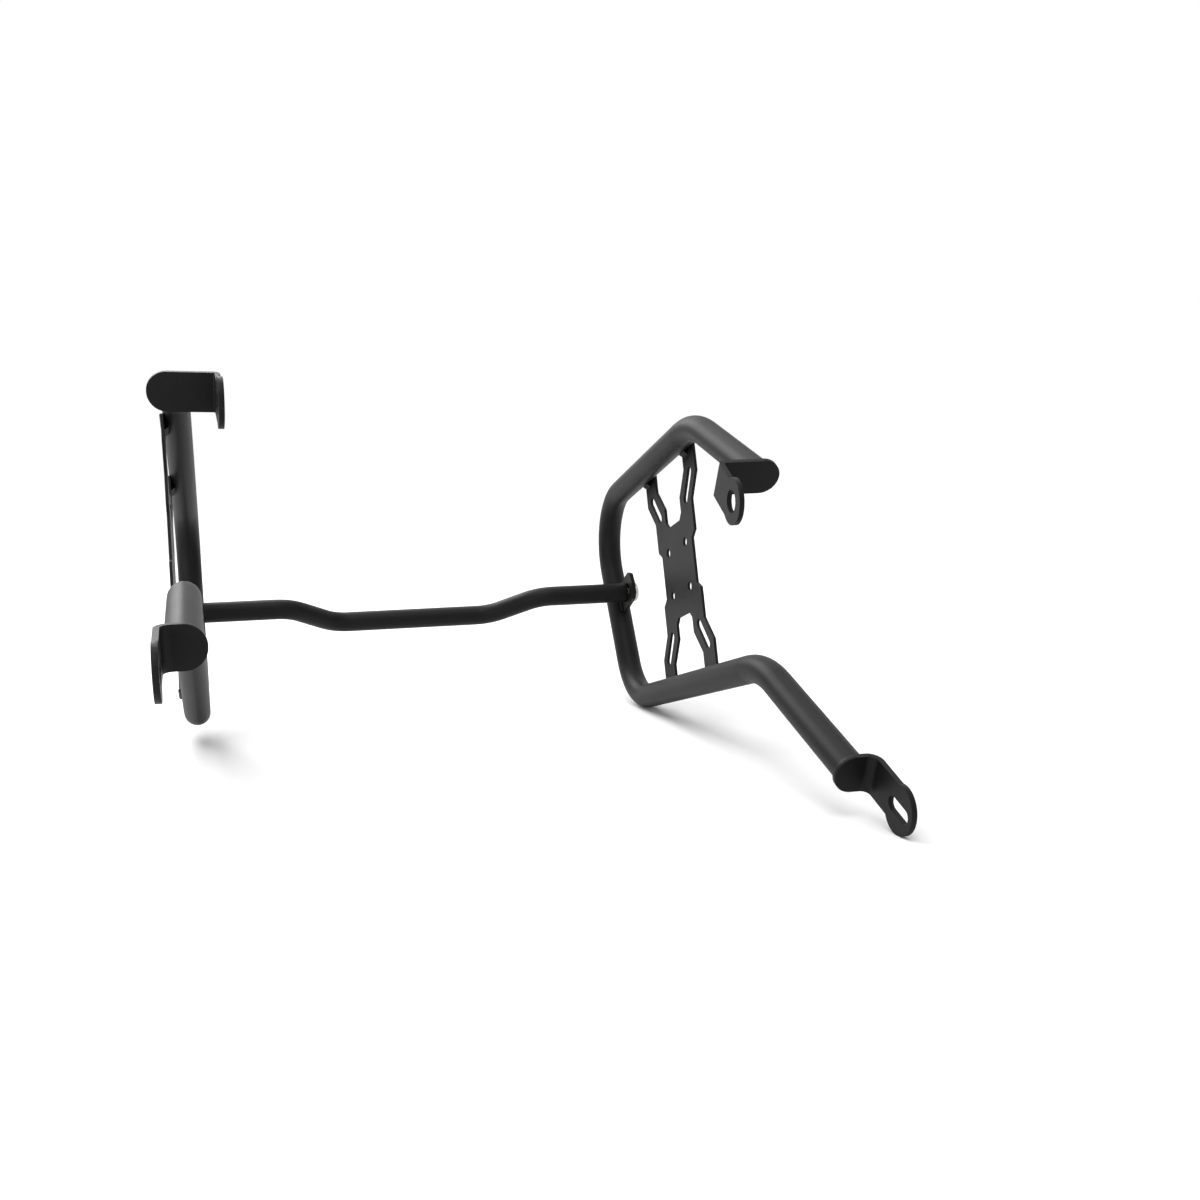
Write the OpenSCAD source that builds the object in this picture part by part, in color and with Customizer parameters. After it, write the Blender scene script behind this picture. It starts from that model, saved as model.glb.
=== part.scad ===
// Motorbike pannier frame: two bent tube side frames, each with a bag plate and two bolt-on
// brackets, joined behind the tail by a joggled crossbar.
// X is across the motorbike, -Y is towards its front and Z is up. The origin is the middle of
// the crossbar's bolt axis. Each side frame swings on that axis until its bolt is tightened.

/* [Side frames] */
// Outer diameter of the side frame tube
tube_d = 18; // [16:0.5:22]
// Wall of the side frame tube
tube_wall = 2; // [1.5:0.1:3]
// Centreline radius of the two rear bends
rear_bend_r = 44; // [36:1:60]
// Centreline radius of the two front bends
front_bend_r = 68; // [40:1:80]
// Distance between the two side frame planes
side_gap = 334; // [280:1:420]
// Height of the upper rear bend's corner above the bolt axis
upper_rear_h = 82.5; // [74:0.5:110]
// Depth of the lower rear bend's corner below the bolt axis
lower_rear_h = 84.5; // [76:0.5:110]
// How far the rear tube leans back towards its top
rear_lean = 7.6; // [0:0.1:12]
// Length of the upper run, from the rear tube forwards to its front bend
upper_run = 219; // [200:0.5:250]
// Fall of the upper run over its length
upper_fall = 26; // [12:0.5:36]
// Length of the lower run, from the rear tube forwards to its front bend
lower_run = 242.5; // [220:0.5:280]
// Fall of the lower run over its length
lower_fall = 39; // [25:0.5:55]
// Length of the upper arm, from the front bend's corner to the end plate's face
upper_arm = 109.5; // [80:0.5:140]
// Angle of the upper arm below level
upper_arm_angle = 42; // [35:0.5:55]
// How far the end of the upper arm stands outwards
upper_splay = 2.5; // [0:0.5:8]
// Length of the lower arm, from the front bend's corner to the end plate's face
lower_arm = 122; // [90:0.5:150]
// Angle of the lower arm below level
lower_arm_angle = 43; // [35:0.5:55]

/* [Stance] */
// How far the right side frame's front is swung up on the bolt axis
right_swing = 24; // [0:0.5:45]
// How far the left side frame's front is swung up on the bolt axis
left_swing = 37; // [0:0.5:45]

/* [Brackets] */
// Width of the bracket strip
strip_w = 22; // [20:0.5:28]
// Thickness of the bracket strip
strip_t = 3; // [2.5:0.5:5]
// How far the upper bracket is turned down from square to its arm
upper_tilt = 12; // [0:0.5:18]
// How far the upper bracket's ear is turned inwards from its arm
upper_turn = 2.5; // [0:0.5:6]
// How far the lower bracket is turned down from square to its arm
lower_tilt = 2; // [0:0.5:18]
// Inner radius of the bend into the upper ear
upper_fold_r = 1; // [0.5:0.5:4]
// Inner radius of the bend into the lower ear
lower_fold_r = 4.5; // [1:0.5:6]
// From the tube's axis to the outer face of the upper bracket's ear
upper_ear_reach = 28.5; // [24:0.5:40]
// From the end plate's face to the middle of the upper ear
upper_ear_len = 27; // [22:0.5:40]
// How far the middle of the upper ear lies above the strip's middle
upper_ear_lift = 1.5; // [-2:0.5:6]
// Diameter of the upper ear
upper_ear_d = 27.5; // [26:0.5:34]
// Diameter of the hole in the upper ear
upper_hole_d = 13.5; // [8:0.5:15]
// From the tube's axis to the outer face of the lower bracket's ear
lower_ear_reach = 12.5; // [12:0.5:30]
// From the end plate's face to the middle of the lower ear
lower_ear_len = 30.5; // [26:0.5:40]
// How far the middle of the lower ear lies above the strip's middle
lower_ear_lift = -1.5; // [-5:0.5:5]
// Diameter of the lower ear
lower_ear_d = 27; // [26:0.5:36]
// Width of the slot in the lower ear
lower_slot_w = 8; // [6.5:0.5:10.5]
// Length of the slot in the lower ear, end to end
lower_slot_l = 20; // [16:0.5:22]

/* [Bag plates] */
// Thickness of the bag plate
plate_t = 2; // [1.5:0.1:4]
// How far the bag plate's inner face lies inside the tube's outer side
plate_set = 0.8; // [0.2:0.1:2]
// How far the bag plate's middle lies above the middle between the two runs
plate_lift = 1.7; // [0:0.1:4]
// From the bolt axis forwards to the middle of the bag plate
plate_forward = 99.5; // [90:0.5:110]
// Half width of the plate's waist
plate_waist = 31.5; // [28:0.5:33]
// Half width of the plate's shoulders
plate_shoulder = 38; // [36:0.5:42]
// Half width over the plate's legs
plate_half_w = 51; // [48:0.5:56]
// Width of a leg at its end
leg_w = 21.5; // [18:0.5:24]
// Distance between the bag holes along the plate's width
hole_pitch_w = 35; // [28:0.5:42]
// Distance between the bag holes along the plate's height
hole_pitch_h = 32; // [26:0.5:38]
// Diameter of the bag holes and width of the leg slots
hole_d = 6.5; // [5:0.1:8.5]
// Height of the waist's step above the plate's middle
waist_h = 16; // [13:0.5:18]
// Height above the middle at which the legs start to spread
spread_h = 42; // [38:0.5:48]
// Height above the middle at which the legs run straight again
knee_h = 58.5; // [54:0.5:64]
// Half width of the notch between two legs
notch_half_w = 16; // [13:0.5:18]
// Height of the notch's floor above the plate's middle
notch_h = 33.5; // [30:0.5:36]
// Length of the slots in the legs, end to end
leg_slot_l = 27; // [16:0.5:28]
// Length of a leg's gusset along the tube
gusset_l = 9; // [6:0.5:12]
// How far a leg's gusset stands past the tube
gusset_h = 0.5; // [0.3:0.1:2]
// How far a leg's gusset lies behind the middle of its leg
gusset_back = 4; // [0:0.5:5]

/* [Crossbar] */
// Outer diameter of the crossbar
bar_d = 15; // [13:0.5:18]
// Wall of the crossbar
bar_wall = 2; // [1.5:0.1:2.5]
// Centreline radius of the crossbar's bends
bar_bend_r = 30; // [20:1:40]
// Half length of the crossbar's middle run, between the corners of its bends
bar_middle = 61; // [40:1:75]
// Length along X of each joggle
bar_joggle = 35; // [28:1:45]
// How far the middle run lies behind the bolt axis
bar_back = 24; // [10:1:32]
// How far the middle run lies below the bolt axis
bar_drop = 15; // [5:1:25]
// Thickness of the crossbar tab
tab_t = 3; // [2.5:0.5:5]
// From the side tube's surface forwards to the bolt axis
tab_reach = 12.5; // [11:0.5:16]
// From the bolt axis forwards to the tab's front
tab_front = 18.5; // [17:0.5:24]
// Height of the crossbar tab
tab_h = 23; // [20:0.5:34]
// How far back the tab's front corners are cut
tab_corner = 6; // [3:0.5:7]
// Length of the tab's slot, end to end
tab_slot_l = 21; // [12:0.5:22]

/* [Fasteners] */
// Thread diameter of the crossbar bolt
bolt_d = 8; // [6:0.5:8]
// Length of the bolt's shank under its head
bolt_l = 22; // [18:1:30]
// Width of the bolt's head across its flats
bolt_head_af = 13; // [10:0.5:15]
// Height of the bolt's head
bolt_head_h = 4.7; // [4:0.1:7]
// Diameter of the washer
washer_d = 16; // [14:0.5:20]
// Thickness of the washer
washer_t = 1.5; // [1:0.1:2.5]
// Length of the threaded plug in the crossbar's end
plug_l = 25; // [20:1:30]
// Clearance of the bolt's shank in the slot and in the washer
bolt_clear = 0.5; // [0.2:0.1:1]

/* [Hidden] */
$fn = 64;
powder = [0.10, 0.10, 0.105];
zinc = [0.62, 0.62, 0.60];
cut = 1;
corner_cut = 4.5;
leg_corner = 6.75;
slot_up = 2;
slot_over = 3;
gusset_slope = 38;
tab_nose = 1.5;
bend_draw = 0.1;
bend_lap = 0.5;
side_x = side_gap / 2;
rear_reach = tube_d / 2 + tab_reach;
rear_y = rear_reach / cos(rear_lean);
upper_slope = atan(upper_fall / upper_run);
lower_slope = atan(lower_fall / lower_run);
upper_corner = [0, rear_y + upper_rear_h * tan(rear_lean), upper_rear_h];
lower_corner = [0, rear_y - lower_rear_h * tan(rear_lean), -lower_rear_h];
upper_front = upper_corner + [0, -upper_run, -upper_fall];
lower_front = lower_corner + [0, -lower_run, -lower_fall];
upper_end = upper_front + [upper_splay, -upper_arm * cos(upper_arm_angle), -upper_arm * sin(upper_arm_angle)];
lower_end = lower_front + [0, -lower_arm * cos(lower_arm_angle), -lower_arm * sin(lower_arm_angle)];
side_route = [upper_end, upper_front, upper_corner, lower_corner, lower_front, lower_end];
side_bends = [front_bend_r, rear_bend_r, rear_bend_r, front_bend_r];
bar_half = side_x;
bar_route = [
    [-bar_half, 0, 0],
    [-bar_middle - bar_joggle, 0, 0],
    [-bar_middle, bar_back, -bar_drop],
    [bar_middle, bar_back, -bar_drop],
    [bar_middle + bar_joggle, 0, 0],
    [bar_half, 0, 0],
];
bar_bends = [bar_bend_r, bar_bend_r, bar_bend_r, bar_bend_r];
plate_x = tube_d / 2 - plate_set;
plate_y = -plate_forward;
upper_line_z = upper_corner.z - (upper_corner.y - plate_y) * upper_fall / upper_run;
lower_line_z = lower_corner.z - (lower_corner.y - plate_y) * lower_fall / lower_run;
plate_z = (upper_line_z + lower_line_z) / 2 + plate_lift;
run_spread = lower_slope - upper_slope;
upper_axis_h = (upper_line_z - plate_z) * cos(upper_slope);
lower_axis_h = (plate_z - lower_line_z) * cos(lower_slope) / cos(run_spread);
leg_short = sqrt(pow(tube_d / 2, 2) - pow(plate_x, 2));
leg_in = plate_half_w - leg_w;
leg_mid = plate_half_w - leg_w / 2;
slot_from = [(plate_shoulder + notch_half_w) / 2, spread_h + slot_up];
slot_to = [leg_mid, knee_h + slot_over];
slot_mid = (slot_from + slot_to) / 2;
slot_angle = atan2(slot_to.y - slot_from.y, slot_to.x - slot_from.x);
sides = [-1, 1];

// A route's helpers: the unit vector between two corners, and how far a bend cuts back from its corner
function unit(v) = v / norm(v);
function turn(a, b, c) = acos(unit(b - a) * unit(c - b));
function cut_back(a, b, c, r) = r * tan(turn(a, b, c) / 2);

// A round rod between two points
module rod(from, to, d) {
    v = to - from;
    translate(from)
        rotate([0, acos(v.z / norm(v)), atan2(v.y, v.x)])
            cylinder(d = d, h = norm(v));
}

// The bend at corner b of a route that comes from a and goes on to c. It starts and ends a little inside
// the straight lengths beside it
module bend(a, b, c, r, d) {
    along = unit(b - a);
    angle = turn(a, b, c);
    axis = unit(cross(along, unit(c - b)));
    out = cross(along, axis);
    start = b - along * cut_back(a, b, c, r);
    middle = start - out * r;
    multmatrix([
        [out.x, along.x, axis.x, middle.x],
        [out.y, along.y, axis.y, middle.y],
        [out.z, along.z, axis.z, middle.z],
        [0, 0, 0, 1],
    ])
        rotate([0, 0, -bend_lap])
            rotate_extrude(angle = angle + 2 * bend_lap)
                translate([r, 0])
                    circle(d = d);
}

// A rod that follows a route with round bends, longer by past at both ends. Bending draws the tube thinner,
// so the bends are bend_draw slimmer than the straight lengths
module bent_rod(route, bends, d, past = 0) {
    last = len(route) - 1;
    for (i = [0:last - 1]) {
        dir = unit(route[i + 1] - route[i]);
        back = i == 0 ? -past : cut_back(route[i - 1], route[i], route[i + 1], bends[i - 1]);
        ahead = i == last - 1 ? -past : cut_back(route[i], route[i + 1], route[i + 2], bends[i]);
        rod(route[i] + dir * back, route[i + 1] - dir * ahead, d);
    }
    for (i = [1:last - 1]) bend(route[i - 1], route[i], route[i + 1], bends[i - 1], d - bend_draw);
}

// Puts a side frame's piece, drawn round the bolt axis with +X outwards, on the left (-1) or right (1)
module on_side(side) {
    mirror([side < 0 ? 1 : 0, 0, 0])
        translate([side_x, 0, 0])
            rotate([side < 0 ? -left_swing : -right_swing, 0, 0])
                children();
}

// Puts a bracket at the end of an arm: -Y is the way its ear points
module on_upper_arm() {
    translate(upper_end) rotate([upper_arm_angle + upper_tilt, 0, -upper_turn]) children();
}

module on_lower_arm() {
    translate(lower_end) rotate([lower_arm_angle + lower_tilt, 0, 0]) children();
}

// Puts a flat piece on the bag plate: X is outwards, Y runs along the upper run and Z across it
module on_plate() {
    translate([plate_x, plate_y, plate_z]) rotate([upper_slope, 0, 0]) children();
}

module side_tube() {
    color(powder) difference() {
        bent_rod(side_route, side_bends, tube_d, strip_t);
        bent_rod(side_route, side_bends, tube_d - 2 * tube_wall, strip_t + cut);
        on_upper_arm() tube_trim();
        on_lower_arm() tube_trim();
    }
}

// What the bracket's strip takes off the tube's end
module tube_trim() {
    translate([-tube_d, -tube_d, -tube_d]) cube([2 * tube_d, tube_d + strip_t, 2 * tube_d]);
}

// A strip with a round end over the tube and, at its other end, an ear bent forwards. The ear stands reach
// from the tube's axis and its middle lies ear_len before the strip and lift above the strip's middle
module strip_bracket(reach, ear_len, lift, ear_d, fold_r) {
    fold_x = -reach + strip_t + fold_r;
    difference() {
        union() {
            rotate([-90, 0, 0]) cylinder(d = strip_w, h = strip_t);
            translate([fold_x, 0, -strip_w / 2]) cube([-fold_x, strip_t, strip_w]);
            translate([fold_x, -fold_r, 0]) {
                translate([0, 0, -strip_w / 2])
                    rotate([0, 0, 90])
                        rotate_extrude(angle = 90)
                            translate([fold_r, 0])
                                square([strip_t, strip_w]);
                on_ear(ear_len, lift, fold_r) {
                    translate([0, 0, -strip_w / 2 - lift]) cube([strip_t, ear_len - fold_r, strip_w]);
                    rotate([0, 90, 0]) cylinder(d = ear_d, h = strip_t);
                }
            }
        }
        translate([fold_x, -fold_r, 0])
            on_ear(ear_len, lift, fold_r)
                translate([-cut, 0, 0])
                    children();
    }
}

// From the middle of the fold to the middle of the ear's outer face
module on_ear(ear_len, lift, fold_r) {
    translate([-fold_r - strip_t, fold_r - ear_len, lift]) children();
}

module upper_bracket() {
    color(powder)
        strip_bracket(upper_ear_reach, upper_ear_len, upper_ear_lift, upper_ear_d, upper_fold_r)
            rotate([0, 90, 0])
                cylinder(d = upper_hole_d, h = strip_t + 2 * cut);
}

module lower_bracket() {
    color(powder) mirror([1, 0, 0])
        strip_bracket(lower_ear_reach, lower_ear_len, lower_ear_lift, lower_ear_d, lower_fold_r)
            slot_cutter(lower_slot_w, lower_slot_l, strip_t + 2 * cut);
}

// A round-ended cutter through X, long in Y, centred on the origin
module slot_cutter(w, l, depth) {
    half = (l - w) / 2;
    for (s = sides) translate([0, s * half, 0]) rotate([0, 90, 0]) cylinder(d = w, h = depth);
    translate([0, -half, -w / 2]) cube([depth, 2 * half, w]);
}

// A quarter of the bag plate's outline: from the waist up the outer edge, over a leg and down its inner edge.
// The leg ends axis_h less leg_short from the middle, and closer by the slope the further out it stands
function plate_quarter(axis_h, slope) = [
    [plate_waist, waist_h],
    [plate_shoulder, waist_h + corner_cut],
    [plate_shoulder, spread_h],
    [plate_half_w, knee_h],
    [plate_half_w, axis_h - leg_short - plate_half_w * tan(slope)],
    [leg_in, axis_h - leg_short - leg_in * tan(slope)],
    [leg_in, knee_h + leg_corner],
    [notch_half_w, spread_h + leg_corner],
    [notch_half_w, notch_h + corner_cut],
    [notch_half_w - corner_cut, notch_h],
];

function flip(points, x, y) = [for (p = points) [x * p.x, y * p.y]];
function backwards(points) = [for (i = [len(points) - 1:-1:0]) points[i]];

module plate_outline() {
    upper = plate_quarter(upper_axis_h, 0);
    polygon(concat(
        upper,
        flip(backwards(upper), -1, 1),
        flip(plate_quarter(lower_axis_h, -run_spread), -1, -1),
        flip(backwards(plate_quarter(lower_axis_h, run_spread)), 1, -1)
    ));
}

module bag_plate() {
    color(powder) on_plate() difference() {
        rotate([90, 0, 90]) linear_extrude(plate_t) plate_outline();
        for (y = sides, z = sides) {
            translate([-cut, y * hole_pitch_w / 2, z * hole_pitch_h / 2])
                rotate([0, 90, 0])
                    cylinder(d = hole_d, h = plate_t + 2 * cut);
            translate([-cut, y * slot_mid.x, z * slot_mid.y])
                rotate([y * z * slot_angle, 0, 0])
                    slot_cutter(hole_d, leg_slot_l, plate_t + 2 * cut);
        }
    }
}

// The wedge in the corner between a leg of the bag plate and its tube: up is 1 or -1, front is 1 or -1
module gusset(up, front) {
    y = gusset_back - front * leg_mid;
    z = up > 0 ? upper_axis_h : y * tan(run_spread) - lower_axis_h;
    edge = tube_d / 2 + gusset_h;
    color(powder) on_plate() translate([-plate_x, y, z])
        rotate([up > 0 ? 0 : run_spread, 0, 0])
            difference() {
                rotate([90, 0, 0])
                    linear_extrude(gusset_l, center = true)
                        scale([1, -up])
                            polygon([
                                [0, 0],
                                [plate_x, 0],
                                [plate_x, edge],
                                [0, edge - plate_x * tan(gusset_slope)],
                            ]);
                rotate([90, 0, 0]) cylinder(d = tube_d, h = 2 * gusset_l, center = true);
            }
}

// The flat tab on the front of the rear tube, slotted for the crossbar's bolt
module crossbar_tab() {
    color(powder) rotate([-rear_lean, 0, 0]) difference() {
        rotate([90, 0, 90]) linear_extrude(tab_t) polygon([
            [rear_reach, tab_h / 2],
            [tab_corner - tab_front, tab_h / 2],
            [tab_nose - tab_front, tab_h / 2 - tab_corner / 2],
            [-tab_front, 0],
            [tab_nose - tab_front, tab_corner / 2 - tab_h / 2],
            [tab_corner - tab_front, -tab_h / 2],
            [rear_reach, -tab_h / 2],
        ]);
        translate([-cut, 0, 0])
            slot_cutter(bolt_d + 2 * bolt_clear, tab_slot_l, tab_t + 2 * cut);
        translate([0, rear_reach, 0]) cylinder(d = tube_d, h = 2 * tab_h, center = true);
    }
}

module crossbar() {
    color(powder) difference() {
        bent_rod(bar_route, bar_bends, bar_d);
        bent_rod(bar_route, bar_bends, bar_d - 2 * bar_wall, cut);
    }
}

// The threaded plug in the crossbar's end, drawn with its mouth at the origin
module plug() {
    color(zinc) translate([-plug_l, 0, 0])
        rotate([0, 90, 0])
            difference() {
                cylinder(d = bar_d - 2 * bar_wall, h = plug_l);
                translate([0, 0, -cut]) cylinder(d = bolt_d, h = plug_l + 2 * cut);
            }
}

// The crossbar's bolt, its head turned back by the swing of its side frame
module bolt(swing) {
    seat = tab_t + washer_t;
    color(zinc) rotate([swing, 0, 0]) rotate([0, 90, 0]) {
        translate([0, 0, seat]) cylinder(d = bolt_head_af / cos(30), h = bolt_head_h, $fn = 6);
        translate([0, 0, seat - bolt_l]) cylinder(d = bolt_d, h = bolt_l);
    }
}

module washer() {
    color(zinc) translate([tab_t, 0, 0])
        rotate([0, 90, 0])
            difference() {
                cylinder(d = washer_d, h = washer_t);
                translate([0, 0, -cut]) cylinder(d = bolt_d + bolt_clear, h = washer_t + 2 * cut);
            }
}

on_side(-1) side_tube();  // left_side_tube
on_side(1) side_tube();  // right_side_tube
on_side(-1) on_upper_arm() upper_bracket();  // left_upper_bracket
on_side(1) on_upper_arm() upper_bracket();  // right_upper_bracket
on_side(-1) on_lower_arm() lower_bracket();  // left_lower_bracket
on_side(1) on_lower_arm() lower_bracket();  // right_lower_bracket
on_side(-1) bag_plate();  // left_bag_plate
on_side(1) bag_plate();  // right_bag_plate
on_side(-1) gusset(1, 1);  // left_upper_front_gusset
on_side(-1) gusset(1, -1);  // left_upper_rear_gusset
on_side(-1) gusset(-1, 1);  // left_lower_front_gusset
on_side(-1) gusset(-1, -1);  // left_lower_rear_gusset
on_side(1) gusset(1, 1);  // right_upper_front_gusset
on_side(1) gusset(1, -1);  // right_upper_rear_gusset
on_side(1) gusset(-1, 1);  // right_lower_front_gusset
on_side(1) gusset(-1, -1);  // right_lower_rear_gusset
on_side(-1) crossbar_tab();  // left_crossbar_tab
on_side(1) crossbar_tab();  // right_crossbar_tab
crossbar();
on_side(-1) plug();  // left_plug
on_side(1) plug();  // right_plug
on_side(-1) bolt(left_swing);  // left_bolt
on_side(1) bolt(right_swing);  // right_bolt
on_side(-1) washer();  // left_washer
on_side(1) washer();  // right_washer
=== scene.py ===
# %% [markdown]
# A pannier frame carries a bag on each side of a motorbike's tail. It is made of two bent tube side frames
# and a crossbar, all powder coated in black, so nearly everything that the eye gets from it comes from
# light on round tube and flat plate. This file loads the frame's solids, sets up the camera and a white
# studio, mixes the two finishes, and adds what the workshop adds: softened edges, weld beads and bolt heads
# with their corners turned off.

# %% Load the frame
import math

import bpy
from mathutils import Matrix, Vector


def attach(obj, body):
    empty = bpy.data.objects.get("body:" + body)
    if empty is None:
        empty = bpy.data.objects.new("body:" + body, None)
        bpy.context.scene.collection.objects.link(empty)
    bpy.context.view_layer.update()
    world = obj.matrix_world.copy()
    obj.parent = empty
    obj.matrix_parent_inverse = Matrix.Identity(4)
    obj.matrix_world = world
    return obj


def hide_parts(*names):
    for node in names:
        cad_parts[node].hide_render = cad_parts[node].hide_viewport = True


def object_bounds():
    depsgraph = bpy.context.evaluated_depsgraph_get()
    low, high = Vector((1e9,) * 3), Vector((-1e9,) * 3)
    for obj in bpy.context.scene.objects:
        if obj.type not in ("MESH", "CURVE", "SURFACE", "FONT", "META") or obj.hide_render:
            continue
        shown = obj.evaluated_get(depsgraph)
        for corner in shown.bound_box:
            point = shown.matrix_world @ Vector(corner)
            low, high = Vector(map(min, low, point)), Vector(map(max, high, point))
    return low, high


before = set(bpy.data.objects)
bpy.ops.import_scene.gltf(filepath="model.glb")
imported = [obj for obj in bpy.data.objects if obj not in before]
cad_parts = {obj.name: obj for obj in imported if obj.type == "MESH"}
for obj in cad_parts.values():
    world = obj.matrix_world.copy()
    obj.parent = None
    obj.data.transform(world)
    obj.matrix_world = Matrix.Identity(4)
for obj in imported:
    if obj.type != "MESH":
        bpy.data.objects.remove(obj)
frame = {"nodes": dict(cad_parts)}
nodes = frame["nodes"]
cad_low, cad_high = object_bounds()
print("Loaded", len(nodes), "pieces, box", tuple(cad_low), tuple(cad_high))


# %% [markdown]
# Operators act on whatever is selected, and the loading leaves every piece selected. So two small
# helpers come first: one clears the selection, and one selects a single piece and makes it active.

# %% Helpers for the selection
MM = 0.001


def select_none():
    if bpy.context.object and bpy.context.object.mode != "OBJECT":
        bpy.ops.object.mode_set(mode="OBJECT")
    bpy.ops.object.select_all(action="DESELECT")


def select_only(piece):
    select_none()
    piece.select_set(True)
    bpy.context.view_layer.objects.active = piece


select_none()


# %% [markdown]
# The photograph was taken from in front of the motorbike's side of the frame, a little above the
# crossbar and to the left of the middle, with the camera tipped down by about ten degrees. The object sits
# right and low of the lens's middle, which a camera does with shift, so that upright tubes keep their lean.

# %% Camera
CAMERA_PLACE = (-0.1548, -0.9723, 0.1110)
CAMERA_TILT_DEG = 79.55
CAMERA_ROLL_DEG = 1.21
CAMERA_TURN_DEG = -13.83
LENS_MM = 38.70
SENSOR_MM = 36
SHIFT_RIGHT = 0.0654
SHIFT_UP = 0.0754
NEAREST_M = 0.01
FARTHEST_M = 50

bpy.ops.object.camera_add(
    location=CAMERA_PLACE,
    rotation=[math.radians(a) for a in (CAMERA_TILT_DEG, CAMERA_ROLL_DEG, CAMERA_TURN_DEG)],
)
camera = bpy.context.object
camera.name = "photo_camera"
camera.data.lens = LENS_MM
camera.data.sensor_width = SENSOR_MM
camera.data.shift_x = SHIFT_RIGHT
camera.data.shift_y = SHIFT_UP
camera.data.clip_start = NEAREST_M
camera.data.clip_end = FARTHEST_M
bpy.context.scene.camera = camera
print("Camera stands", round(camera.location.length, 3), "m from the crossbar's middle")


# %% [markdown]
# Powder coat is a plastic skin that is melted on. It isn't smooth: a fine grain catches the light, and a
# slower ripple, called orange peel, bends it. Both are the same on every coated piece, so they are made
# once, as a node group that puts out a height for the bump and a tone that varies colour and roughness.

# %% Node group for the coat's grain
GRAIN_SCALE = 1150.0
PEEL_SCALE = 220.0
PEEL_SHARE = 0.35
CLOUD_SCALE = 28.0


def new_group(name, inputs, outputs):
    """A shader node group whose sockets are all floats. inputs gives each one's starting value."""
    group = bpy.data.node_groups.new(name, "ShaderNodeTree")
    for label, value in inputs.items():
        socket = group.interface.new_socket(name=label, in_out="INPUT", socket_type="NodeSocketFloat")
        socket.default_value = value
    for label in outputs:
        group.interface.new_socket(name=label, in_out="OUTPUT", socket_type="NodeSocketFloat")
    enter = group.nodes.new("NodeGroupInput")
    leave = group.nodes.new("NodeGroupOutput")
    return group, enter, leave


def noise(group, place, detail):
    texture = group.nodes.new("ShaderNodeTexNoise")
    texture.inputs["Detail"].default_value = detail
    group.links.new(place.outputs["Object"], texture.inputs["Vector"])
    return texture


def powder_grain_group():
    group, enter, leave = new_group(
        "powder_grain",
        {"Grain Size": GRAIN_SCALE, "Peel Size": PEEL_SCALE, "Peel Share": PEEL_SHARE},
        ("Height", "Tone"),
    )
    place = group.nodes.new("ShaderNodeTexCoord")
    grain = noise(group, place, detail=2.0)
    peel = noise(group, place, detail=1.0)
    cloud = noise(group, place, detail=4.0)
    cloud.inputs["Scale"].default_value = CLOUD_SCALE
    mix = group.nodes.new("ShaderNodeMix")
    mix.data_type = "FLOAT"
    link = group.links.new
    link(enter.outputs["Grain Size"], grain.inputs["Scale"])
    link(enter.outputs["Peel Size"], peel.inputs["Scale"])
    link(enter.outputs["Peel Share"], mix.inputs["Factor"])
    link(grain.outputs["Fac"], mix.inputs["A"])
    link(peel.outputs["Fac"], mix.inputs["B"])
    link(mix.outputs["Result"], leave.inputs["Height"])
    link(cloud.outputs["Fac"], leave.inputs["Tone"])
    return group


POWDER_GRAIN = powder_grain_group()
print("Made the grain group with", len(POWDER_GRAIN.nodes), "nodes")


# %% Powder coat material
COAT_BLACK = (0.0032, 0.0032, 0.0035, 1)
COAT_DUSTY = (0.0060, 0.0060, 0.0064, 1)
DUST_FROM = 0.35
DUST_TO = 0.75
COAT_ROUGH_LOW = 0.42
COAT_ROUGH_HIGH = 0.52
COAT_SPECULAR = 0.13
COAT_BUMP = 0.40
COAT_BUMP_HIGH = 0.2 * MM


def bare_material(name):
    material = bpy.data.materials.new(name)
    material.use_nodes = True
    tree = material.node_tree
    return material, tree, tree.nodes["Principled BSDF"]


def powder_coat():
    material, tree, skin = bare_material("black_powder_coat")
    link = tree.links.new
    grain = tree.nodes.new("ShaderNodeGroup")
    grain.node_tree = POWDER_GRAIN
    colour = tree.nodes.new("ShaderNodeValToRGB")
    colour.color_ramp.elements[0].position = DUST_FROM
    colour.color_ramp.elements[0].color = COAT_BLACK
    colour.color_ramp.elements[1].position = DUST_TO
    colour.color_ramp.elements[1].color = COAT_DUSTY
    rough = tree.nodes.new("ShaderNodeMapRange")
    rough.inputs["To Min"].default_value = COAT_ROUGH_LOW
    rough.inputs["To Max"].default_value = COAT_ROUGH_HIGH
    bump = tree.nodes.new("ShaderNodeBump")
    bump.inputs["Strength"].default_value = COAT_BUMP
    bump.inputs["Distance"].default_value = COAT_BUMP_HIGH
    link(grain.outputs["Tone"], colour.inputs["Fac"])
    link(grain.outputs["Tone"], rough.inputs["Value"])
    link(grain.outputs["Height"], bump.inputs["Height"])
    link(colour.outputs["Color"], skin.inputs["Base Color"])
    link(rough.outputs["Result"], skin.inputs["Roughness"])
    link(bump.outputs["Normal"], skin.inputs["Normal"])
    skin.inputs["Specular IOR Level"].default_value = COAT_SPECULAR
    return material


coat = powder_coat()


# %% [markdown]
# The bolts, washers and plugs are zinc plated: a thin bright metal that is never quite even. A coarser
# setting of the same grain varies its colour, and makes it shinier where it is brighter.

# %% Zinc plate material
ZINC_BRIGHT = (0.52, 0.51, 0.47, 1)
ZINC_DULL = (0.34, 0.33, 0.30, 1)
ZINC_GRAIN_SCALE = 900.0
ZINC_ROUGH_DULL = 0.38
ZINC_ROUGH_BRIGHT = 0.24


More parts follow.
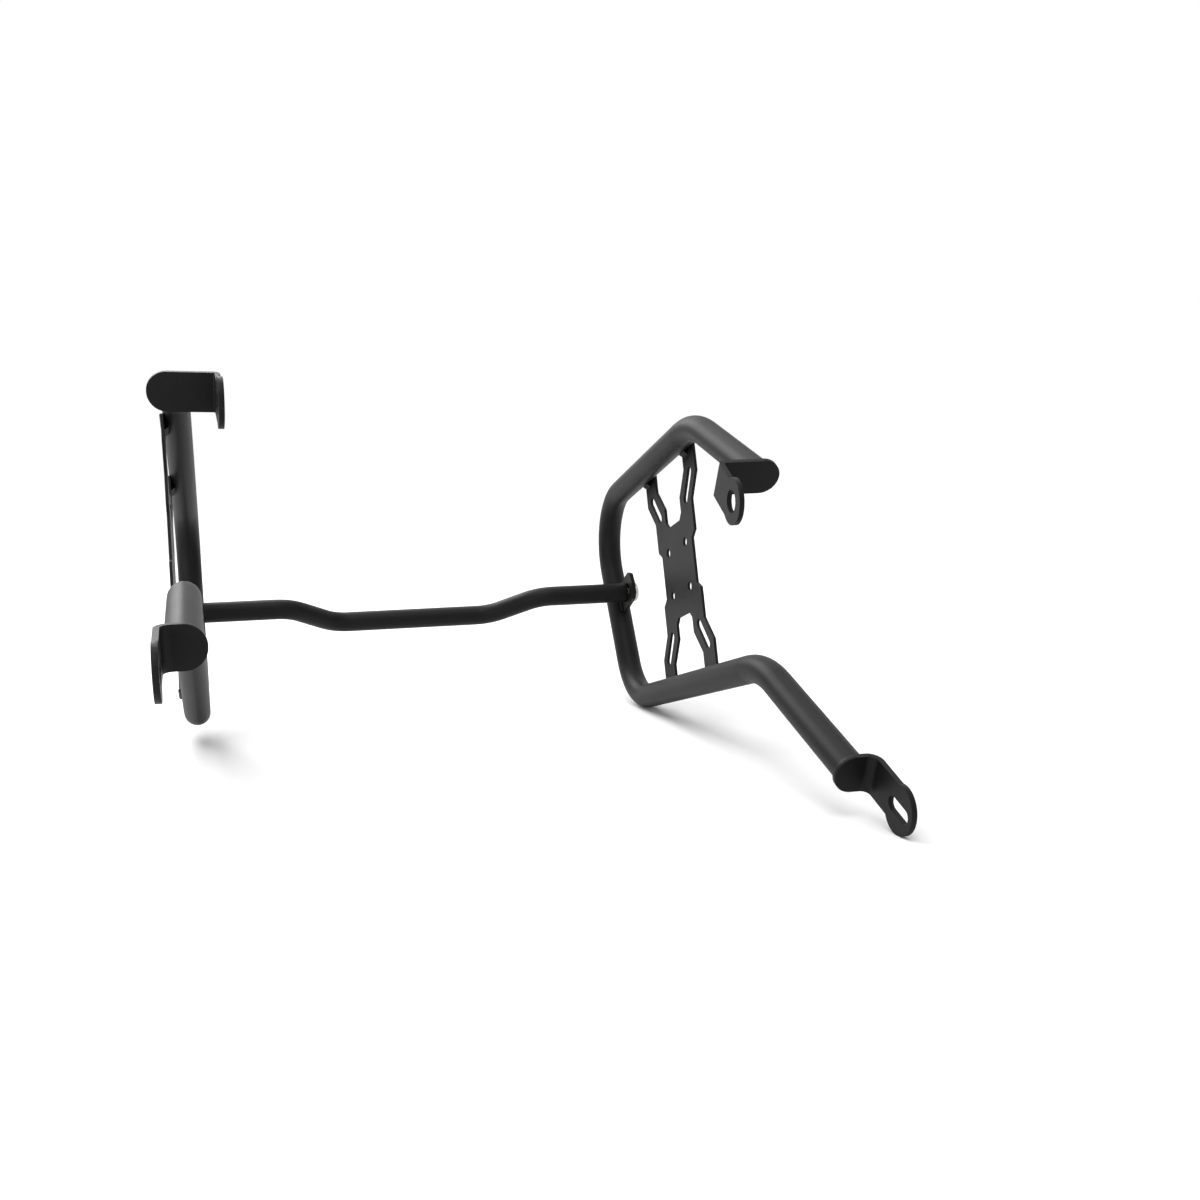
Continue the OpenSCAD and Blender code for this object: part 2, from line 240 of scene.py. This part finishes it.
def zinc_plate():
    material, tree, skin = bare_material("zinc_plate")
    link = tree.links.new
    grain = tree.nodes.new("ShaderNodeGroup")
    grain.node_tree = POWDER_GRAIN
    grain.inputs["Grain Size"].default_value = ZINC_GRAIN_SCALE
    colour = tree.nodes.new("ShaderNodeValToRGB")
    colour.color_ramp.elements[0].color = ZINC_DULL
    colour.color_ramp.elements[1].color = ZINC_BRIGHT
    rough = tree.nodes.new("ShaderNodeMapRange")
    rough.inputs["To Min"].default_value = ZINC_ROUGH_DULL
    rough.inputs["To Max"].default_value = ZINC_ROUGH_BRIGHT
    link(grain.outputs["Height"], colour.inputs["Fac"])
    link(grain.outputs["Height"], rough.inputs["Value"])
    link(colour.outputs["Color"], skin.inputs["Base Color"])
    link(rough.outputs["Result"], skin.inputs["Roughness"])
    skin.inputs["Metallic"].default_value = 1.0
    return material


zinc = zinc_plate()


# %% [markdown]
# The last word of a piece's name says what kind of piece it is, and that decides its finish.

# %% Give the pieces their finish
ZINC_PIECES = ("plug", "bolt", "washer")


def is_zinc(name):
    return name.split("_")[-1] in ZINC_PIECES


for name, node in nodes.items():
    node.data.materials.clear()
    node.data.materials.append(zinc if is_zinc(name) else coat)
print("Coated", sum(not is_zinc(n) for n in nodes), "pieces and plated", sum(map(is_zinc, nodes)))


# %% [markdown]
# Cut plate has edges that a file and the powder have rounded. They are what catches the light on a black
# part. The frame's pieces keep their meshes, which are loose triangles, so two live modifiers do it: Weld
# joins the triangles and Bevel rounds every edge that is sharper than the facets of a hole.

# %% Round the edges of the flat pieces
JOIN_GAP = 0.001 * MM
EDGE_ROUND = 0.35 * MM
EDGE_STEPS = 2
EDGE_ANGLE_DEG = 35
FLAT_PIECES = ("bracket", "plate", "tab", "washer")


def soften_edges(piece):
    join = piece.modifiers.new("join_triangles", "WELD")
    join.merge_threshold = JOIN_GAP
    edge = piece.modifiers.new("round_edges", "BEVEL")
    edge.width = EDGE_ROUND
    edge.segments = EDGE_STEPS
    edge.limit_method = "ANGLE"
    edge.angle_limit = math.radians(EDGE_ANGLE_DEG)
    edge.harden_normals = True


softened = [name for name in nodes if name.split("_")[-1] in FLAT_PIECES]
for name in softened:
    soften_edges(nodes[name])
print("Rounded the edges of", len(softened), "pieces")


# %% [markdown]
# The welds need places on the frame. Each side frame is drawn upright round the crossbar's bolt axis and
# then swung, and the left one mirrors the right one. So a place on both is given once, in millimetres
# outwards, back and up from that axis, and a function puts it on the left (-1) or the right (1). The
# tube's corners and ends follow from the lengths and angles that it was bent to. The reach from the bolt
# axis to the rear tube is measured square to that tube, which leans.

# %% Places on a side frame
SIDE_OUT = 167.0
SWING_DEG = {-1: 37.0, 1: 24.0}
SIDE_NAMES = {-1: "left", 1: "right"}
TUBE_R = 9.0
REAR_REACH = 21.5
REAR_LEAN_DEG = 7.6
UPPER_REAR_H = 82.5
LOWER_REAR_H = 84.5
UPPER_RUN = Vector((0, -219.0, -26.0))
LOWER_RUN = Vector((0, -242.5, -39.0))
UPPER_ARM = Vector((0, -109.5, 0))
LOWER_ARM = Vector((0, -122.0, 0))
UPPER_ARM_DEG = 42.0
LOWER_ARM_DEG = 43.0
UPPER_SPLAY = Vector((2.5, 0, 0))


def turned(place, deg):
    """Turns (out, back, up) about the outwards axis, from back towards up."""
    c, s = math.cos(math.radians(deg)), math.sin(math.radians(deg))
    return Vector((place[0], place[1] * c - place[2] * s, place[1] * s + place[2] * c))


def on_side(side, place):
    x, y, z = turned(place, -SWING_DEG[side])
    return Vector((side * (SIDE_OUT + x), y, z)) * MM


def side_way(side, way):
    x, y, z = turned(way, -SWING_DEG[side])
    return Vector((side * x, y, z)).normalized()


def rear_corner(up):
    """Where the leaning rear tube's axis passes a height."""
    lean = math.radians(REAR_LEAN_DEG)
    return Vector((0, REAR_REACH / math.cos(lean) + up * math.tan(lean), up))


UPPER_CORNER = rear_corner(UPPER_REAR_H)
LOWER_CORNER = rear_corner(-LOWER_REAR_H)
UPPER_END = UPPER_CORNER + UPPER_RUN + turned(UPPER_ARM, UPPER_ARM_DEG) + UPPER_SPLAY
LOWER_END = LOWER_CORNER + LOWER_RUN + turned(LOWER_ARM, LOWER_ARM_DEG)
print("Tube ends, in mm out, back and up from the bolt axis:", tuple(UPPER_END), tuple(LOWER_END))


# %% [markdown]
# A weld bead is a row of small overlapping ripples, one for each step of the welder's torch. A straight
# bead starts as a cylinder whose sides are subdivided, every other ring is scaled up, the ends are drawn
# in, and a subdivision surface melts it together. It is made along Z and then laid between two places.

# %% Straight weld bead
RIPPLE = 1.5 * MM
RIPPLE_SWELL = 1.14
FEWEST_RIPPLES = 3
BEAD_SIDES = 12
BEAD_END_SHARE = 0.55


def pick_verts(piece, test):
    """Selects in edit mode the vertices whose place passes the test."""
    bpy.ops.object.mode_set(mode="EDIT")
    bpy.ops.mesh.select_mode(type="VERT")
    bpy.ops.mesh.select_all(action="DESELECT")
    bpy.ops.object.mode_set(mode="OBJECT")
    for vert in piece.data.vertices:
        vert.select = bool(test(vert.co))
    bpy.ops.object.mode_set(mode="EDIT")


def melt(piece):
    bpy.ops.object.mode_set(mode="OBJECT")
    smooth = piece.modifiers.new("melt", "SUBSURF")
    smooth.levels = 1
    bpy.ops.object.modifier_apply(modifier=smooth.name)
    bpy.ops.object.shade_smooth()


def finish_weld(piece, name):
    piece.name = name
    piece.data.name = name
    piece.data.materials.clear()
    piece.data.materials.append(coat)
    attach(piece, "root")


def weld_bead(name, start, end, radius):
    run = end - start
    ripples = max(FEWEST_RIPPLES, round(run.length / RIPPLE))
    cuts = 2 * ripples - 1
    select_none()
    bpy.ops.mesh.primitive_cylinder_add(vertices=BEAD_SIDES, radius=radius, depth=run.length)
    bead = bpy.context.object
    half = run.length / 2
    bpy.ops.object.mode_set(mode="EDIT")
    bpy.ops.mesh.select_mode(type="EDGE")
    bpy.ops.mesh.select_all(action="DESELECT")
    bpy.ops.object.mode_set(mode="OBJECT")
    spots = bead.data.vertices
    for edge in bead.data.edges:
        edge.select = abs(spots[edge.vertices[0]].co.z - spots[edge.vertices[1]].co.z) > half
    bpy.ops.object.mode_set(mode="EDIT")
    bpy.ops.mesh.subdivide(number_cuts=cuts)
    step = run.length / (cuts + 1)
    pick_verts(bead, lambda co: abs(co.z) < half - step / 2 and round((co.z + half) / step) % 2 == 1)
    bpy.ops.transform.resize(value=(RIPPLE_SWELL, RIPPLE_SWELL, 1))
    pick_verts(bead, lambda co: abs(co.z) > half - step / 2)
    bpy.ops.transform.resize(value=(BEAD_END_SHARE, BEAD_END_SHARE, 1))
    melt(bead)
    bead.rotation_euler = run.to_track_quat("Z", "Y").to_euler()
    bead.location = (start + end) / 2
    bpy.ops.object.transform_apply(location=True, rotation=True, scale=True)
    finish_weld(bead, name)


# %% [markdown]
# A ring of weld goes round each tube where it stands on its bracket. It is a torus whose every other
# ring of vertices is fattened. The bracket is tilted to its tube, so the ring is laid square to the
# bracket's plate, and its middle is where the tube's axis comes out of that plate.

# %% Ring weld
RING_SIDES = 10


def weld_ring(name, middle, axis, across, radius):
    ripples = 2 * round(math.pi * across / RIPPLE)
    select_none()
    bpy.ops.mesh.primitive_torus_add(
        major_radius=across, minor_radius=radius, major_segments=2 * ripples, minor_segments=RING_SIDES
    )
    ring = bpy.context.object
    turn = math.pi / ripples
    pick_verts(ring, lambda co: round(math.atan2(co.y, co.x) / turn) % 2 == 1)
    bpy.ops.transform.shrink_fatten(value=radius * (RIPPLE_SWELL - 1))
    melt(ring)
    ring.rotation_euler = axis.to_track_quat("Z", "Y").to_euler()
    ring.location = middle
    bpy.ops.object.transform_apply(location=True, rotation=True, scale=True)
    finish_weld(ring, name)


# %% Welds round the tube ends
STRIP_T = 3.0
RING_R = 1.25
RING_CLEAR = 0.15
UPPER_TILT_DEG = 12.0
UPPER_TURN_DEG = 2.5
LOWER_TILT_DEG = 2.0
LOWER_TURN_DEG = 0.0


def arm_end_weld(part, end, arm_deg, tilt_deg, turn_deg):
    back = turned((0, 1, 0), arm_deg)
    square = turned((0, 1, 0), arm_deg + tilt_deg)
    square.x = math.sin(math.radians(turn_deg)) * square.y
    square.normalize()
    middle = end + back * (STRIP_T / back.dot(square))
    across = (TUBE_R + RING_CLEAR) * MM
    for side, word in SIDE_NAMES.items():
        name = f"{word}_{part}_bracket_weld"
        weld_ring(name, on_side(side, middle), side_way(side, square), across, RING_R * MM)


arm_end_weld("upper", UPPER_END, UPPER_ARM_DEG, UPPER_TILT_DEG, UPPER_TURN_DEG)
arm_end_weld("lower", LOWER_END, LOWER_ARM_DEG, LOWER_TILT_DEG, LOWER_TURN_DEG)
print("Welded the brackets to the tubes")


# %% [markdown]
# The bag plate's legs are welded where their ends meet the tube, on the outer side, in the groove between
# the plate's edge and the round of the tube. The plate lies along the upper run, and the lower run spreads
# away from it, so both axes are found above and below the plate's middle.

# %% Welds on the bag plates
PLATE_OUT = 8.2
PLATE_BACK = -99.5
PLATE_LIFT = 1.7
LEG_FROM = 31.5
LEG_TO = 49.0
GROOVE_OUT = 1.5
GROOVE_IN = 3.0
BEAD_R = 1.2


def slope(run):
    return math.atan(run.z / run.y)


def height_at_plate(corner, run):
    return corner.z + (PLATE_BACK - corner.y) * run.z / run.y


UPPER_SLOPE = slope(UPPER_RUN)
LOWER_SLOPE = slope(LOWER_RUN)
RUN_SPREAD = LOWER_SLOPE - UPPER_SLOPE
UPPER_AXIS_HEIGHT = height_at_plate(UPPER_CORNER, UPPER_RUN)
LOWER_AXIS_HEIGHT = height_at_plate(LOWER_CORNER, LOWER_RUN)
PLATE_HEIGHT = (UPPER_AXIS_HEIGHT + LOWER_AXIS_HEIGHT) / 2 + PLATE_LIFT
PLATE_MIDDLE = Vector((PLATE_OUT, PLATE_BACK, PLATE_HEIGHT))
UPPER_AXIS_UP = (UPPER_AXIS_HEIGHT - PLATE_HEIGHT) * math.cos(UPPER_SLOPE)
LOWER_AXIS_DOWN = (PLATE_HEIGHT - LOWER_AXIS_HEIGHT) * math.cos(LOWER_SLOPE) / math.cos(RUN_SPREAD)


def on_plate(side, out, along, up):
    return on_side(side, PLATE_MIDDLE + turned((out, along, up), math.degrees(UPPER_SLOPE)))


def leg_weld(side, level, end):
    places = []
    for along in (end * LEG_FROM, end * LEG_TO):
        if level == "upper":
            up = UPPER_AXIS_UP - GROOVE_IN
        else:
            up = GROOVE_IN - LOWER_AXIS_DOWN + along * math.tan(RUN_SPREAD)
        places.append(on_plate(side, GROOVE_OUT, along, up))
    where = "rear" if end > 0 else "front"
    weld_bead(f"{SIDE_NAMES[side]}_{level}_{where}_leg_weld", *places, BEAD_R * MM)


for side in SIDE_NAMES:
    for level in ("upper", "lower"):
        for end in (-1, 1):
            leg_weld(side, level, end)
print("Welded the legs to axes that are", round(UPPER_AXIS_UP + LOWER_AXIS_DOWN, 1), "mm apart")


# %% [markdown]
# The crossbar's tab is welded to the front of the rear tube along both its faces. Each bead stands a little
# to the side of its face and a little in front of the tube's skin.

# %% Welds on the tabs
TAB_T = 3.0
TAB_WELD_HALF = 10.5
BEAD_ASIDE = 0.5
BEAD_FORWARD = 0.3


def tab_weld(side, face, out):
    back = REAR_REACH - math.sqrt(TUBE_R ** 2 - out ** 2) - BEAD_FORWARD
    heights = (-TAB_WELD_HALF, TAB_WELD_HALF)
    ends = [on_side(side, turned((out, back, up), -REAR_LEAN_DEG)) for up in heights]
    weld_bead(f"{SIDE_NAMES[side]}_tab_{face}_weld", *ends, BEAD_R * MM)


for side in SIDE_NAMES:
    tab_weld(side, "inner", -BEAD_ASIDE)
    tab_weld(side, "outer", TAB_T + BEAD_ASIDE)
print("Welded the tabs")


# %% [markdown]
# A bolt's head is a hexagon whose outer corners are turned off to a flat cone, so that a socket finds its
# way on. A body as a lathe would turn it, a cylinder with a drawn-in end, is intersected with a copy of the
# plain bolt, and what is left is the finished head on its shank. The cylinder is just wider than the head's
# corners, so only its drawn-in end cuts.

# %% Bolts
WASHER_T = 1.5
HEAD_T = 4.7
HEAD_END_OUT = SIDE_OUT + TAB_T + WASHER_T + HEAD_T
HEAD_CORNER_R = 7.6
HEAD_FACE_R = 6.1
CHAMFER_DEEP = 0.85
TURNED_LENGTH = 40.0
TURNED_SIDES = 96
BOLT_SMOOTH_DEG = 25


def turned_body(side):
    select_none()
    bpy.ops.mesh.primitive_cylinder_add(
        vertices=TURNED_SIDES,
        radius=HEAD_CORNER_R * MM,
        depth=TURNED_LENGTH * MM,
        end_fill_type="NGON",
    )
    body = bpy.context.object
    pick_verts(body, lambda co: co.z > 0)
    bpy.ops.mesh.extrude_region_move(TRANSFORM_OT_translate={"value": (0, 0, CHAMFER_DEEP * MM)})
    draw_in = HEAD_FACE_R / HEAD_CORNER_R
    bpy.ops.transform.resize(value=(draw_in, draw_in, 1))
    bpy.ops.object.mode_set(mode="OBJECT")
    middle = HEAD_END_OUT - CHAMFER_DEEP - TURNED_LENGTH / 2
    body.location = (side * middle * MM, 0, 0)
    body.rotation_euler = (0, side * math.pi / 2, 0)
    bpy.ops.object.transform_apply(location=True, rotation=True, scale=True)
    return body


def chamfered_bolt(side):
    name = f"{SIDE_NAMES[side]}_bolt"
    body = turned_body(side)
    bolt = nodes[name].copy()
    bolt.data = nodes[name].data.copy()
    bpy.context.collection.objects.link(bolt)
    select_only(bolt)
    bpy.ops.object.mode_set(mode="EDIT")
    bpy.ops.mesh.select_all(action="SELECT")
    bpy.ops.mesh.remove_doubles(threshold=JOIN_GAP)
    bpy.ops.object.mode_set(mode="OBJECT")
    common = bolt.modifiers.new("turn_corners_off", "BOOLEAN")
    common.operation = "INTERSECT"
    common.object = body
    common.solver = "EXACT"
    bpy.ops.object.modifier_apply(modifier=common.name)
    bpy.data.objects.remove(body)
    bpy.ops.object.shade_smooth_by_angle(angle=math.radians(BOLT_SMOOTH_DEG))
    bolt.name = f"{name}_chamfered"
    bolt.data.name = bolt.name
    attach(bolt, "root")
    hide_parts(name)
    return bolt


for side in SIDE_NAMES:
    made = chamfered_bolt(side)
    print(made.name, "has", len(made.data.polygons), "faces")


# %% [markdown]
# The studio is a pale floor under a white sky. The floor is white because it is pale and evenly lit, so it
# keeps the shadow and shows in every reflection. Two wide suns give that even light: unlike a lamp nearby,
# they don't fade towards the horizon.

# %% Floor
FLOOR_HALF = 8.0
FLOOR_WHITE = (0.93, 0.93, 0.93, 1)

bpy.ops.mesh.primitive_plane_add(size=2 * FLOOR_HALF, location=(0, 0, cad_low.z))
floor = bpy.context.object
floor.name = "floor"

floor_paint, _, floor_skin = bare_material("floor_white")
floor_skin.inputs["Base Color"].default_value = FLOOR_WHITE
floor_skin.inputs["Roughness"].default_value = 1.0
floor_skin.inputs["Specular IOR Level"].default_value = 0.0
floor.data.materials.append(floor_paint)


# %% [markdown]
# The sky sheds less light than it shows. The eye, a mirror ray and a ray through glass all see it at full
# white, and every other ray finds the lower light, so that black stays black.

# %% Sky
SKY_LIGHT = 0.35


def white_sky():
    world = bpy.data.worlds.new("white_sky")
    world.use_nodes = True
    tree = world.node_tree
    link = tree.links.new
    sky = tree.nodes["Background"]
    rays = tree.nodes.new("ShaderNodeLightPath")
    eye_or_mirror = tree.nodes.new("ShaderNodeMath")
    eye_or_mirror.operation = "MAXIMUM"
    seen = tree.nodes.new("ShaderNodeMath")
    seen.operation = "MAXIMUM"
    strength = tree.nodes.new("ShaderNodeMapRange")
    strength.inputs["To Min"].default_value = SKY_LIGHT
    strength.inputs["To Max"].default_value = 1.0
    link(rays.outputs["Is Camera Ray"], eye_or_mirror.inputs[0])
    link(rays.outputs["Is Glossy Ray"], eye_or_mirror.inputs[1])
    link(eye_or_mirror.outputs["Value"], seen.inputs[0])
    link(rays.outputs["Is Transmission Ray"], seen.inputs[1])
    link(seen.outputs["Value"], strength.inputs["Value"])
    link(strength.outputs["Result"], sky.inputs["Strength"])
    sky.inputs["Color"].default_value = (1, 1, 1, 1)
    return world


bpy.context.scene.world = white_sky()


# %% [markdown]
# A black tube is drawn by what it mirrors. A wide sun and a soft box behind the frame, up and to the left,
# draw the streaks along the tops of the tubes. A narrower and weaker sun in front lights what looks at the
# camera, and a large soft box low on the left lights the ears and the bag plates.

# %% Lights
MIDDLE = Vector((0, -0.15, 0.05))


def aimed(place):
    return (MIDDLE - Vector(place)).to_track_quat("-Z", "Y").to_euler()


def softbox(name, place, size, watts):
    bpy.ops.object.light_add(type="AREA", location=place, rotation=aimed(place))
    lamp = bpy.context.object
    lamp.name = name
    lamp.visible_camera = False
    lamp.data.shape = "RECTANGLE"
    lamp.data.size, lamp.data.size_y = size
    lamp.data.energy = watts


def wide_sun(name, place, spread_deg, strength):
    bpy.ops.object.light_add(type="SUN", location=place, rotation=aimed(place))
    lamp = bpy.context.object
    lamp.name = name
    lamp.data.angle = math.radians(spread_deg)
    lamp.data.energy = strength


wide_sun("back_sun", place=(-0.6, 0.9, 2.0), spread_deg=70, strength=1.9)
wide_sun("front_sun", place=(-0.2, -0.8, 1.3), spread_deg=34, strength=1.15)
softbox("back_box", place=(-0.55, 1.1, 1.0), size=(1.0, 0.9), watts=15)
softbox("left_box", place=(-1.3, -1.1, 0.3), size=(1.5, 1.0), watts=10)


# %% [markdown]
# The Standard view shows light as it was mixed, with no film curve, so white stays white.

# %% Colour management
bpy.context.scene.view_settings.view_transform = "Standard"
